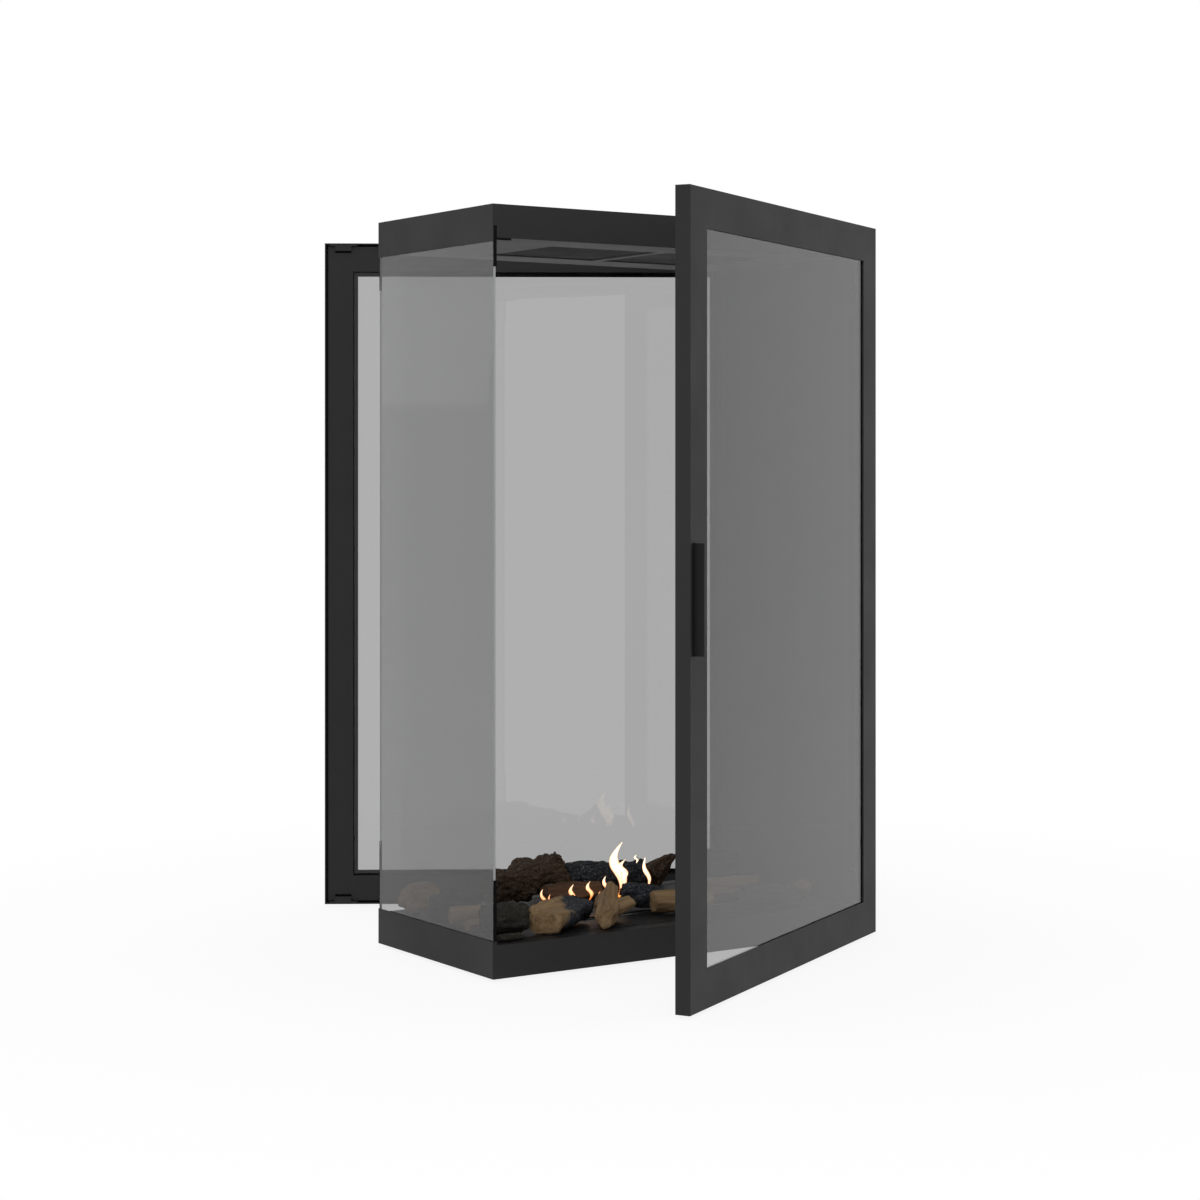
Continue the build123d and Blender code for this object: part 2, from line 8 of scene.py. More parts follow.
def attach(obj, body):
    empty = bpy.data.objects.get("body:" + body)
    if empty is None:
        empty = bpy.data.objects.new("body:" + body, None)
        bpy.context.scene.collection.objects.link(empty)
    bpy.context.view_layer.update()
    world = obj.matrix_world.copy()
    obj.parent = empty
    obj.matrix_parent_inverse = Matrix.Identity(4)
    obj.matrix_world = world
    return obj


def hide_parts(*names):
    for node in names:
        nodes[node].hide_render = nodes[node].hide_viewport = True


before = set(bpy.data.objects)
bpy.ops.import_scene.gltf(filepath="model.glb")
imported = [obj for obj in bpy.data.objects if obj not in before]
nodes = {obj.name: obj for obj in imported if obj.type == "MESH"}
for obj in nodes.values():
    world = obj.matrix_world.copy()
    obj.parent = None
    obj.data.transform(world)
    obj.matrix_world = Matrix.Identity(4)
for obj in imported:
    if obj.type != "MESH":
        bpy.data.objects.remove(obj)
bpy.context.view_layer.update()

# Looks of a see-through ethanol fireplace with two open glass doors.
# The steel, glass and hinges are the CAD nodes. The logs are modelled here over theirs,
# and the flames and the pale edge strips of the side pane, which are painted light, are added.


# Small helpers

def deselectAll():
    if bpy.context.object and bpy.context.object.mode != "OBJECT":
        bpy.ops.object.mode_set(mode="OBJECT")
    bpy.ops.object.select_all(action="DESELECT")


def pickVerts(piece, test):
    # selects the vertices that pass the test, and goes back to edit mode
    bpy.ops.mesh.select_all(action="DESELECT")
    bpy.ops.object.mode_set(mode="OBJECT")
    for vert in piece.data.vertices:
        vert.select = test(vert.co)
    bpy.ops.object.mode_set(mode="EDIT")


def applyModifier(piece, kind, settings):
    modifier = piece.modifiers.new(kind.lower(), kind)
    for key, value in settings.items():
        setattr(modifier, key, value)
    bpy.ops.object.modifier_apply(modifier=modifier.name)


def placeNode(tree, kind, spot, settings=None, values=None):
    node = tree.nodes.new(kind)
    node.location = spot
    for key, value in (settings or {}).items():
        setattr(node, key, value)
    for key, value in (values or {}).items():
        node.inputs[key].default_value = value
    return node


def startGroup(name, inputs, outputs):
    group = bpy.data.node_groups.new(name, "ShaderNodeTree")
    kinds = {"colour": "NodeSocketColor", "value": "NodeSocketFloat", "vector": "NodeSocketVector"}
    for socketName, kind in inputs.items():
        group.interface.new_socket(socketName, in_out="INPUT", socket_type=kinds[kind])
    for socketName, kind in outputs.items():
        group.interface.new_socket(socketName, in_out="OUTPUT", socket_type=kinds[kind])
    start = placeNode(group, "NodeGroupInput", (-900, 0))
    end = placeNode(group, "NodeGroupOutput", (700, 0))
    return group, start, end


def startMaterial(name):
    material = bpy.data.materials.new(name)
    material.use_nodes = True
    return material, material.node_tree, material.node_tree.nodes["Principled BSDF"]


def rgb(red, green, blue):
    return (red, green, blue, 1.0)


# Shared effects, each one node group

def makeCoatGrain():
    # fine orange-peel of a sprayed coat, with faint cloudy handling marks
    group, start, end = startGroup(
        "coatGrain",
        {"Vector": "vector", "Light": "colour", "Dark": "colour", "Grain": "value",
         "Smooth": "value", "Rough": "value"},
        {"Color": "colour", "Roughness": "value", "Height": "value"})
    peel = placeNode(group, "ShaderNodeTexNoise", (-600, 200), values={"Detail": 3.0})
    marks = placeNode(group, "ShaderNodeTexNoise", (-600, -150),
                      values={"Scale": 7.0, "Detail": 4.0, "Roughness": 0.6})
    speck = placeNode(group, "ShaderNodeMix", (-300, 200), {"data_type": "FLOAT"}, {"Factor": 0.3})
    tint = placeNode(group, "ShaderNodeMix", (100, 200), {"data_type": "RGBA"})
    sheen = placeNode(group, "ShaderNodeMapRange", (100, -150),
                      values={"From Min": 0.35, "From Max": 0.65})
    link = group.links.new
    link(start.outputs["Vector"], peel.inputs["Vector"])
    link(start.outputs["Grain"], peel.inputs["Scale"])
    link(start.outputs["Vector"], marks.inputs["Vector"])
    link(marks.outputs["Fac"], speck.inputs[2])
    link(peel.outputs["Fac"], speck.inputs[3])
    link(speck.outputs[0], tint.inputs[0])
    link(start.outputs["Dark"], tint.inputs[6])
    link(start.outputs["Light"], tint.inputs[7])
    link(marks.outputs["Fac"], sheen.inputs["Value"])
    link(start.outputs["Smooth"], sheen.inputs["To Min"])
    link(start.outputs["Rough"], sheen.inputs["To Max"])
    link(tint.outputs[2], end.inputs["Color"])
    link(sheen.outputs["Result"], end.inputs["Roughness"])
    link(peel.outputs["Fac"], end.inputs["Height"])
    return group


def makeWoodGrain():
    # long fibres of split wood; the vector runs along the log on X
    group, start, end = startGroup(
        "woodGrain", {"Vector": "vector", "Light": "colour", "Dark": "colour"},
        {"Color": "colour", "Height": "value"})
    stretch = placeNode(group, "ShaderNodeMapping", (-700, 0),
                        values={"Scale": (9.0, 150.0, 150.0)})
    fibres = placeNode(group, "ShaderNodeTexNoise", (-480, 150),
                       values={"Scale": 1.0, "Detail": 6.0, "Roughness": 0.62, "Distortion": 0.5})
    patches = placeNode(group, "ShaderNodeTexNoise", (-480, -150),
                        values={"Scale": 28.0, "Detail": 3.0})
    ramp = placeNode(group, "ShaderNodeMapRange", (-250, 150),
                     values={"From Min": 0.33, "From Max": 0.62})
    shade = placeNode(group, "ShaderNodeMix", (-30, 0), {"data_type": "FLOAT"}, {"Factor": 0.3})
    tint = placeNode(group, "ShaderNodeMix", (250, 150), {"data_type": "RGBA"})
    link = group.links.new
    link(start.outputs["Vector"], stretch.inputs["Vector"])
    link(stretch.outputs["Vector"], fibres.inputs["Vector"])
    link(start.outputs["Vector"], patches.inputs["Vector"])
    link(fibres.outputs["Fac"], ramp.inputs["Value"])
    link(ramp.outputs["Result"], shade.inputs[2])
    link(patches.outputs["Fac"], shade.inputs[3])
    link(shade.outputs[0], tint.inputs[0])
    link(start.outputs["Dark"], tint.inputs[6])
    link(start.outputs["Light"], tint.inputs[7])
    link(tint.outputs[2], end.inputs["Color"])
    link(ramp.outputs["Result"], end.inputs["Height"])
    return group


def makeBarkRidges():
    # scaly ridges that run along the log, with darker cracks between them
    group, start, end = startGroup(
        "barkRidges", {"Vector": "vector", "Light": "colour", "Dark": "colour"},
        {"Color": "colour", "Height": "value"})
    stretch = placeNode(group, "ShaderNodeMapping", (-700, 0),
                        values={"Scale": (60.0, 210.0, 210.0)})
    cracks = placeNode(group, "ShaderNodeTexVoronoi", (-480, 150),
                       {"feature": "DISTANCE_TO_EDGE"}, {"Scale": 1.0, "Randomness": 1.0})
    grime = placeNode(group, "ShaderNodeTexNoise", (-480, -150),
                      values={"Scale": 240.0, "Detail": 7.0, "Roughness": 0.7})
    crackDepth = placeNode(group, "ShaderNodeMapRange", (-250, 150),
                           values={"From Min": 0.0, "From Max": 0.32})
    mixed = placeNode(group, "ShaderNodeMix", (-30, 0), {"data_type": "FLOAT"}, {"Factor": 0.7})
    warp = placeNode(group, "ShaderNodeTexNoise", (-900, 250), values={"Scale": 70.0, "Detail": 3.0})
    shove = placeNode(group, "ShaderNodeVectorMath", (-700, 250), {"operation": "MULTIPLY_ADD"},
                      {1: (5.0, 5.0, 5.0)})
    ramp = placeNode(group, "ShaderNodeMapRange", (130, 0),
                     values={"From Min": 0.32, "From Max": 0.78})
    tint = placeNode(group, "ShaderNodeMix", (330, 150), {"data_type": "RGBA"})
    link = group.links.new
    link(start.outputs["Vector"], stretch.inputs["Vector"])
    link(start.outputs["Vector"], warp.inputs["Vector"])
    link(warp.outputs["Color"], shove.inputs[0])
    link(stretch.outputs["Vector"], shove.inputs[2])
    link(shove.outputs["Vector"], cracks.inputs["Vector"])
    link(start.outputs["Vector"], grime.inputs["Vector"])
    link(cracks.outputs["Distance"], crackDepth.inputs["Value"])
    link(crackDepth.outputs["Result"], mixed.inputs[2])
    link(grime.outputs["Fac"], mixed.inputs[3])
    link(mixed.outputs[0], ramp.inputs["Value"])
    link(ramp.outputs["Result"], tint.inputs[0])
    link(start.outputs["Dark"], tint.inputs[6])
    link(start.outputs["Light"], tint.inputs[7])
    link(tint.outputs[2], end.inputs["Color"])
    link(mixed.outputs[0], end.inputs["Height"])
    return group


def makeCharBlocks():
    # charred wood: shrunken blocks with blue-grey faces and pale ash flecks
    group, start, end = startGroup(
        "charBlocks", {"Vector": "vector", "Place": "vector", "Toward": "vector", "Edge": "value"},
        {"Color": "colour", "Height": "value", "Mask": "value"})
    stretch = placeNode(group, "ShaderNodeMapping", (-700, 200),
                        values={"Scale": (90.0, 240.0, 240.0)})
    blocks = placeNode(group, "ShaderNodeTexVoronoi", (-480, 260),
                       {"feature": "DISTANCE_TO_EDGE"}, {"Scale": 1.0})
    warp = placeNode(group, "ShaderNodeTexNoise", (-900, 250), values={"Scale": 80.0, "Detail": 4.0})
    shove = placeNode(group, "ShaderNodeVectorMath", (-700, 380), {"operation": "MULTIPLY_ADD"},
                      {1: (5.0, 5.0, 5.0)})
    flecks = placeNode(group, "ShaderNodeTexNoise", (-480, 20),
                       values={"Scale": 420.0, "Detail": 6.0, "Roughness": 0.7})
    gaps = placeNode(group, "ShaderNodeMapRange", (-250, 260),
                     values={"From Min": 0.0, "From Max": 0.3})
    faces = placeNode(group, "ShaderNodeMix", (-30, 260), {"data_type": "RGBA"},
                      {6: rgb(0.006, 0.006, 0.007), 7: rgb(0.050, 0.056, 0.066)})
    ashy = placeNode(group, "ShaderNodeMapRange", (-250, 20),
                     values={"From Min": 0.58, "From Max": 0.72})
    ash = placeNode(group, "ShaderNodeMix", (200, 200), {"data_type": "RGBA"},
                    {7: rgb(0.30, 0.31, 0.33)})
    lean = placeNode(group, "ShaderNodeVectorMath", (-480, -250), {"operation": "DOT_PRODUCT"})
    ragged = placeNode(group, "ShaderNodeTexNoise", (-480, -450),
                       values={"Scale": 45.0, "Detail": 4.0})
    wander = placeNode(group, "ShaderNodeMath", (-250, -450),
                       {"operation": "MULTIPLY_ADD"}, {1: 1.3, 2: -0.65})
    reach = placeNode(group, "ShaderNodeMath", (-50, -300), {"operation": "ADD"})
    past = placeNode(group, "ShaderNodeMath", (130, -300), {"operation": "SUBTRACT"})
    soft = placeNode(group, "ShaderNodeMapRange", (310, -300),
                     values={"From Min": -0.16, "From Max": 0.16})
    link = group.links.new
    link(start.outputs["Vector"], stretch.inputs["Vector"])
    link(start.outputs["Vector"], warp.inputs["Vector"])
    link(warp.outputs["Color"], shove.inputs[0])
    link(stretch.outputs["Vector"], shove.inputs[2])
    link(shove.outputs["Vector"], blocks.inputs["Vector"])
    link(start.outputs["Vector"], flecks.inputs["Vector"])
    link(start.outputs["Vector"], ragged.inputs["Vector"])
    link(blocks.outputs["Distance"], gaps.inputs["Value"])
    link(gaps.outputs["Result"], faces.inputs[0])
    link(flecks.outputs["Fac"], ashy.inputs["Value"])
    link(ashy.outputs["Result"], ash.inputs[0])
    link(faces.outputs[2], ash.inputs[6])
    link(start.outputs["Place"], lean.inputs[0])
    link(start.outputs["Toward"], lean.inputs[1])
    link(ragged.outputs["Fac"], wander.inputs[0])
    link(lean.outputs["Value"], reach.inputs[0])
    link(wander.outputs["Value"], reach.inputs[1])
    link(reach.outputs["Value"], past.inputs[0])
    link(start.outputs["Edge"], past.inputs[1])
    link(past.outputs["Value"], soft.inputs["Value"])
    link(ash.outputs[2], end.inputs["Color"])
    link(gaps.outputs["Result"], end.inputs["Height"])
    link(soft.outputs["Result"], end.inputs["Mask"])
    return group


coatGrain = makeCoatGrain()
woodGrain = makeWoodGrain()
barkRidges = makeBarkRidges()
charBlocks = makeCharBlocks()
print("scene: shared effects made")


# Finishes of the metalwork and the soft parts

coats = {
    "satinBlack": {"light": rgb(0.025, 0.025, 0.0255), "dark": rgb(0.018, 0.018, 0.0185),
                   "grain": 900.0, "smooth": 0.56, "rough": 0.66, "specular": 0.22, "bump": 0.10},
    "mattBlack": {"light": rgb(0.010, 0.010, 0.011), "dark": rgb(0.006, 0.006, 0.006),
                  "grain": 700.0, "smooth": 0.55, "rough": 0.68, "specular": 0.2, "bump": 0.12},
    # ceiling underside: its lighter grey is painted light, the glow cast up from the pale floor
    "ceilingGrey": {"light": rgb(0.062, 0.062, 0.063), "dark": rgb(0.048, 0.048, 0.049),
                    "grain": 900.0, "smooth": 0.44, "rough": 0.54, "specular": 0.36, "bump": 0.08},
    "deepBlack": {"light": rgb(0.005, 0.005, 0.005), "dark": rgb(0.003, 0.003, 0.003),
                  "grain": 700.0, "smooth": 0.7, "rough": 0.85, "specular": 0.08, "bump": 0.1},
    "hearthBlack": {"light": rgb(0.014, 0.014, 0.015), "dark": rgb(0.007, 0.007, 0.007),
                    "grain": 600.0, "smooth": 0.42, "rough": 0.60, "specular": 0.26, "bump": 0.08},
    # pale edge strips of the side pane: painted light, the glow the glass carries to its edge
    "paintedEdgeLight": {"light": rgb(0.42, 0.43, 0.43), "dark": rgb(0.32, 0.33, 0.33),
                   "grain": 800.0, "smooth": 0.5, "rough": 0.65, "specular": 0.4, "bump": 0.1},
    "sealRubber": {"light": rgb(0.024, 0.024, 0.024), "dark": rgb(0.014, 0.014, 0.014),
                   "grain": 1200.0, "smooth": 0.65, "rough": 0.8, "specular": 0.2, "bump": 0.2},
    "fibreWool": {"light": rgb(0.80, 0.79, 0.75), "dark": rgb(0.58, 0.56, 0.52),
                  "grain": 500.0, "smooth": 0.9, "rough": 0.97, "specular": 0.1, "bump": 0.6},
    "wallBoard": {"light": rgb(0.66, 0.62, 0.52), "dark": rgb(0.50, 0.46, 0.38),
                  "grain": 380.0, "smooth": 0.85, "rough": 0.95, "specular": 0.1, "bump": 0.5},
}


def makeCoat(name, look, metallic=0.0):
    material, tree, shader = startMaterial(name)
    place = placeNode(tree, "ShaderNodeTexCoord", (-900, 0))
    grain = placeNode(tree, "ShaderNodeGroup", (-600, 0))
    grain.node_tree = coatGrain
    grain.inputs["Light"].default_value = look["light"]
    grain.inputs["Dark"].default_value = look["dark"]
    grain.inputs["Grain"].default_value = look["grain"]
    grain.inputs["Smooth"].default_value = look["smooth"]
    grain.inputs["Rough"].default_value = look["rough"]
    bump = placeNode(tree, "ShaderNodeBump", (-300, -300),
                     values={"Strength": look["bump"], "Distance": 0.0006})
    shader.inputs["Specular IOR Level"].default_value = look["specular"]
    shader.inputs["Metallic"].default_value = metallic
    link = tree.links.new
    link(place.outputs["Object"], grain.inputs["Vector"])
    link(grain.outputs["Color"], shader.inputs["Base Color"])
    link(grain.outputs["Roughness"], shader.inputs["Roughness"])
    link(grain.outputs["Height"], bump.inputs["Height"])
    link(bump.outputs["Normal"], shader.inputs["Normal"])
    return material


metals = {
    "brushedSteel": {"light": rgb(0.62, 0.62, 0.62), "dark": rgb(0.44, 0.44, 0.45),
                     "grain": 420.0, "smooth": 0.24, "rough": 0.4, "specular": 0.5, "bump": 0.1},
    "turnedBrass": {"light": rgb(0.78, 0.62, 0.34), "dark": rgb(0.60, 0.45, 0.22),
                    "grain": 420.0, "smooth": 0.28, "rough": 0.44, "specular": 0.5, "bump": 0.1},
}

finishes = {name: makeCoat(name, look) for name, look in coats.items()}
for name, look in metals.items():
    finishes[name] = makeCoat(name, look, metallic=1.0)


# Glass: grey tinted, with lamps let through so that the hearth is lit

glassLook = {"tint": rgb(0.418, 0.418, 0.421), "smear": rgb(0.404, 0.404, 0.407),
             "lampTint": rgb(0.82, 0.82, 0.82)}


def makeGlass():
    material, tree, shader = startMaterial("tintedPane")
    output = tree.nodes["Material Output"]
    place = placeNode(tree, "ShaderNodeTexCoord", (-900, 0))
    smears = placeNode(tree, "ShaderNodeTexNoise", (-700, 0),
                       values={"Scale": 5.0, "Detail": 5.0, "Roughness": 0.6})
    wiped = placeNode(tree, "ShaderNodeMix", (-450, 0), {"data_type": "RGBA"},
                      {6: glassLook["tint"], 7: glassLook["smear"]})
    shader.inputs["Roughness"].default_value = 0.0
    shader.inputs["IOR"].default_value = 1.42
    shader.inputs["Transmission Weight"].default_value = 1.0
    clear = placeNode(tree, "ShaderNodeBsdfTransparent", (0, -300),
                      values={"Color": glassLook["lampTint"]})
    rays = placeNode(tree, "ShaderNodeLightPath", (-200, 400))
    either = placeNode(tree, "ShaderNodeMath", (0, 300), {"operation": "MAXIMUM"})
    pick = placeNode(tree, "ShaderNodeMixShader", (250, 100))
    link = tree.links.new
    link(place.outputs["Object"], smears.inputs["Vector"])
    link(smears.outputs["Fac"], wiped.inputs[0])
    link(wiped.outputs[2], shader.inputs["Base Color"])
    link(rays.outputs["Is Shadow Ray"], either.inputs[0])
    link(rays.outputs["Is Diffuse Ray"], either.inputs[1])
    link(either.outputs["Value"], pick.inputs["Fac"])
    link(shader.outputs["BSDF"], pick.inputs[1])
    link(clear.outputs["BSDF"], pick.inputs[2])
    link(pick.outputs["Shader"], output.inputs["Surface"])
    return material


finishes["tintedPane"] = makeGlass()

doorParts = {"stiles": "satinBlack", "rails": "satinBlack", "inner_frame": "satinBlack",
             "glass": "tintedPane", "gasket": "sealRubber", "bead": "deepBlack",
             "spacers": "mattBlack", "handle": "mattBlack", "catches": "satinBlack",
             "hinge_bushes": "turnedBrass"}
nodeFinish = {
    "base_plate": "mattBlack", "plinth_shell": "satinBlack", "plinth_side_trim": "satinBlack",
    "hood_shell": "satinBlack", "hood_side_trim": "satinBlack", "ceiling_panel": "ceilingGrey",
    "ceiling_baffles": "mattBlack", "wall_casing": "satinBlack", "wall_liner": "mattBlack",
    "wall_insulation": "wallBoard", "hinge_posts": "mattBlack", "hinge_arms": "brushedSteel",
    "hinge_pins": "brushedSteel", "catch_strikers": "brushedSteel", "side_glass": "tintedPane",
    "side_glass_seals": "sealRubber", "glass_clips": "deepBlack", "hearth_plate": "hearthBlack",
    "burner_tank": "brushedSteel", "burner_top": "hearthBlack", "burner_wool": "fibreWool",
    "shutter_rails": "brushedSteel", "burner_shutter": "brushedSteel",
    "shutter_stud": "brushedSteel",
}
for side in ("front", "rear"):
    for part, finish in doorParts.items():
        nodeFinish[side + "_door_" + part] = finish

for nodeName, finish in nodeFinish.items():
    piece = nodes[nodeName]
    for index in range(len(piece.material_slots)):
        piece.material_slots[index].material = finishes[finish]
    if not piece.material_slots:
        piece.data.materials.append(finishes[finish])
print("scene: finishes set on the CAD nodes")


# Edges of the side pane, which show as pale lines between the clips: their pale tone is painted light,
# the glow the glass carries to its edge

paneEdges = {
    "paintedEdgeLightFront": {"low": (-0.3456, -0.1671, 0.145), "high": (-0.3420, -0.1666, 1.016)},
    "paintedEdgeLightRear": {"low": (-0.3456, 0.1666, 0.161), "high": (-0.3420, 0.1671, 1.001)},
}

for name, edge in paneEdges.items():
    low, high = Vector(edge["low"]), Vector(edge["high"])
    deselectAll()
    bpy.ops.mesh.primitive_cube_add(size=1.0, location=(low + high) / 2, scale=high - low)
    piece = bpy.context.object
    piece.name = name
    bpy.ops.object.transform_apply(location=True, rotation=True, scale=True)
    piece.data.materials.append(finishes["paintedEdgeLight"])
    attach(piece, "casing")
print("scene: pane edges ground")


# Logs

skins = {
    "tan": {"group": woodGrain, "light": rgb(0.25, 0.165, 0.085), "dark": rgb(0.085, 0.052, 0.026),
            "rough": 0.78, "bump": 0.5},
    "pale": {"group": woodGrain, "light": rgb(0.30, 0.20, 0.105), "dark": rgb(0.12, 0.075, 0.036),
             "rough": 0.8, "bump": 0.5},
    "redwood": {"group": woodGrain, "light": rgb(0.105, 0.058, 0.034), "dark": rgb(0.045, 0.024, 0.014),
                "rough": 0.75, "bump": 0.5},
    "brown": {"group": barkRidges, "light": rgb(0.105, 0.072, 0.046), "dark": rgb(0.020, 0.013, 0.009),
              "rough": 0.86, "bump": 0.8},
    "olive": {"group": barkRidges, "light": rgb(0.050, 0.046, 0.034), "dark": rgb(0.010, 0.009, 0.007),
              "rough": 0.86, "bump": 0.8},
    "umber": {"group": barkRidges, "light": rgb(0.11, 0.07, 0.045), "dark": rgb(0.02, 0.012, 0.008),
              "rough": 0.86, "bump": 0.8},
}


def makeLogMaterial(name, skin, log):
    look = skins[skin]
    centre, turn, length = log["centre"], log["turn"], log["length"]
    material, tree, shader = startMaterial(name)
    place = placeNode(tree, "ShaderNodeTexCoord", (-1300, 0))
    along = placeNode(tree, "ShaderNodeMapping", (-1050, 150), {"vector_type": "TEXTURE"},
                      {"Location": centre, "Rotation": turn})
    share = placeNode(tree, "ShaderNodeMapping", (-1050, -250), {"vector_type": "TEXTURE"},
                      {"Location": centre, "Rotation": turn,
                       "Scale": (length / 2, log["radius"], log["radius"])})
    wood = placeNode(tree, "ShaderNodeGroup", (-750, 200))
    wood.node_tree = look["group"]
    wood.inputs["Light"].default_value = look["light"]
    wood.inputs["Dark"].default_value = look["dark"]
    char = placeNode(tree, "ShaderNodeGroup", (-750, -150))
    char.node_tree = charBlocks
    char.inputs["Toward"].default_value = log["charToward"]
    char.inputs["Edge"].default_value = log["charEdge"]
    colour = placeNode(tree, "ShaderNodeMix", (-450, 150), {"data_type": "RGBA"})
    height = placeNode(tree, "ShaderNodeMix", (-450, -150), {"data_type": "FLOAT"})
    bump = placeNode(tree, "ShaderNodeBump", (-200, -250),
                     values={"Strength": look["bump"], "Distance": 0.0012})
    shader.inputs["Roughness"].default_value = look["rough"]
    shader.inputs["Specular IOR Level"].default_value = 0.3
    link = tree.links.new
    link(place.outputs["Object"], along.inputs["Vector"])
    link(place.outputs["Object"], share.inputs["Vector"])
    link(along.outputs["Vector"], wood.inputs["Vector"])
    link(along.outputs["Vector"], char.inputs["Vector"])
    link(share.outputs["Vector"], char.inputs["Place"])
    link(char.outputs["Mask"], colour.inputs[0])
    link(wood.outputs["Color"], colour.inputs[6])
    link(char.outputs["Color"], colour.inputs[7])
    link(colour.outputs[2], shader.inputs["Base Color"])
    link(char.outputs["Mask"], height.inputs[0])
    link(wood.outputs["Height"], height.inputs[2])
    link(char.outputs["Height"], height.inputs[3])
    link(height.outputs[0], bump.inputs["Height"])
    link(bump.outputs["Normal"], shader.inputs["Normal"])
    return material


def makeLumps(name, kind, settings):
    texture = bpy.data.textures.new(name, kind)
    for key, value in settings.items():
        setattr(texture, key, value)
    return texture


lumps = makeLumps("logLumps", "CLOUDS", {"noise_scale": 0.035, "noise_depth": 1})
ridges = makeLumps("logRidges", "VORONOI", {"noise_scale": 0.013, "weight_1": -1.0,
                                            "weight_2": 1.0})
fissures = makeLumps("logFissures", "CLOUDS", {"noise_scale": 0.006, "noise_depth": 5})


# How a log is worked: lengths in metres, and shares of its radius
logWork = {"ringPitch": 0.014, "ringSpread": (0.94, 1.06), "drift": 0.07, "knock": 0.13,
           "lump": 0.5, "fissure": 0.7, "stretch": 3.0, "splitFace": 0.93, "endFace": 0.9,
           "smoothAngle": 50, "thinRadius": 0.012, "voxel": 0.0018, "thinVoxel": 0.0012,
           "barkRidge": 0.34, "woodRidge": 0.10}


def roughOutLog(name, log):
    # a drum of rings along X, squeezed and nudged ring by ring, then split and roughened
    rng = random.Random(log["seed"])
    start, finish = Vector(log["start"]) / 1000, Vector(log["finish"]) / 1000
    radius = log["radius"]
    length = (finish - start).length
    rings = max(4, round(length / logWork["ringPitch"]))
    deselectAll()
    bpy.ops.mesh.primitive_cylinder_add(vertices=16, radius=radius, depth=length,
                                        end_fill_type="NGON", location=(0, 0, 0),
                                        rotation=(0, math.pi / 2, 0))
    piece = bpy.context.object
    piece.name = name
    bpy.ops.object.transform_apply(location=False, rotation=True, scale=False)
    bpy.context.tool_settings.mesh_select_mode = (False, True, False)
    bpy.ops.object.mode_set(mode="EDIT")
    bpy.ops.mesh.select_all(action="DESELECT")
    bpy.ops.object.mode_set(mode="OBJECT")
    ends = piece.data.vertices
    for edge in piece.data.edges:
        a, b = (ends[index].co for index in edge.vertices)
        edge.select = abs(a.x - b.x) > length / 2
    bpy.ops.object.mode_set(mode="EDIT")
    bpy.ops.mesh.subdivide(number_cuts=rings - 1)
    bpy.context.tool_settings.mesh_select_mode = (True, False, False)
    drift = Vector((0, 0, 0))
    for ring in range(rings + 1):
        x = -length / 2 + length * ring / rings
        pickVerts(piece, lambda co, x=x: abs(co.x - x) < length / rings / 3)
        share = ring / rings
        girth = log["girth"](share) * rng.uniform(*logWork["ringSpread"])
        bpy.ops.transform.resize(value=(1, girth * log["squash"], girth / log["squash"]))
        nudge = Vector((0, rng.uniform(-1, 1), rng.uniform(-1, 1)))
        drift += nudge * radius * logWork["drift"]
        bpy.ops.transform.translate(value=drift)
    bpy.ops.mesh.select_all(action="SELECT")
    bpy.ops.transform.vertex_random(offset=radius * logWork["knock"], seed=log["seed"])
    for normal, depth in log["splits"]:
        bpy.ops.mesh.select_all(action="SELECT")
        normal = Vector(normal).normalized()
        bpy.ops.mesh.bisect(plane_co=normal * depth, plane_no=normal,
                            use_fill=True, clear_outer=True)
    bpy.ops.object.mode_set(mode="OBJECT")
    applyModifier(piece, "REMESH", {"mode": "VOXEL", "voxel_size": log["voxel"]})
    applyModifier(piece, "SMOOTH", {"iterations": 3, "factor": 0.5})
    cuts = [Vector(normal).normalized() for normal, depth in log["splits"]]
    materials = [makeLogMaterial(name + "Skin", log["skin"], log),
                 makeLogMaterial(name + "Heart", log["heart"], log)]
    for material in materials:
        piece.data.materials.append(material)
    for face in piece.data.polygons:
        onCut = any(face.normal.dot(normal) > logWork["splitFace"] for normal in cuts)
        onEnd = abs(face.normal.x) > logWork["endFace"]
        face.material_index = 1 if onCut or onEnd else 0
    stretchSpace = bpy.data.objects.new("stretchSpace", None)
    stretchSpace.scale = (logWork["stretch"], 1.0, 1.0)
    stretchSpace.location = (rng.uniform(-1, 1), rng.uniform(-1, 1), rng.uniform(-1, 1))
    bpy.context.collection.objects.link(stretchSpace)
    bpy.context.view_layer.update()
    common = {"texture_coords": "OBJECT", "texture_coords_object": stretchSpace}
    applyModifier(piece, "DISPLACE", dict(common, texture=lumps, mid_level=0.5,
                                          strength=radius * logWork["lump"]))
    applyModifier(piece, "DISPLACE", dict(common, texture=ridges, strength=log["ridge"],
                                          mid_level=0.35))
    applyModifier(piece, "DISPLACE", dict(common, texture=fissures, mid_level=0.5,
                                          strength=log["ridge"] * logWork["fissure"]))
    bpy.data.objects.remove(stretchSpace)
    bpy.ops.object.shade_smooth_by_angle(angle=math.radians(logWork["smoothAngle"]))
    piece.rotation_euler = log["turn"]
    piece.location = log["centre"]
    bpy.ops.object.transform_apply(location=True, rotation=True, scale=True)
    return piece


def evenGirth(share):
    return 0.8 + 0.25 * math.sin(math.pi * min(1, 0.15 + share * 0.8))


def pointedGirth(share):
    return 1.15 - 0.95 * share ** 1.6


def twoLobes(share):
    # a low lobe, a waist, then a higher lobe
    return 0.72 + 0.3 * share + 0.12 * math.cos(4 * math.pi * share)


def flaredGirth(share):
    return 0.72 + 0.36 * share


allBark = {"charToward": (0, 0, 0), "charEdge": 2.0}
allChar = {"charToward": (0, 0, 0), "charEdge": -2.0}
farEndChar = {"charToward": (1, -0.35, -0.5), "charEdge": 0.0}
nearEndChar = {"charToward": (-1, 0, -0.2), "charEdge": 0.35}

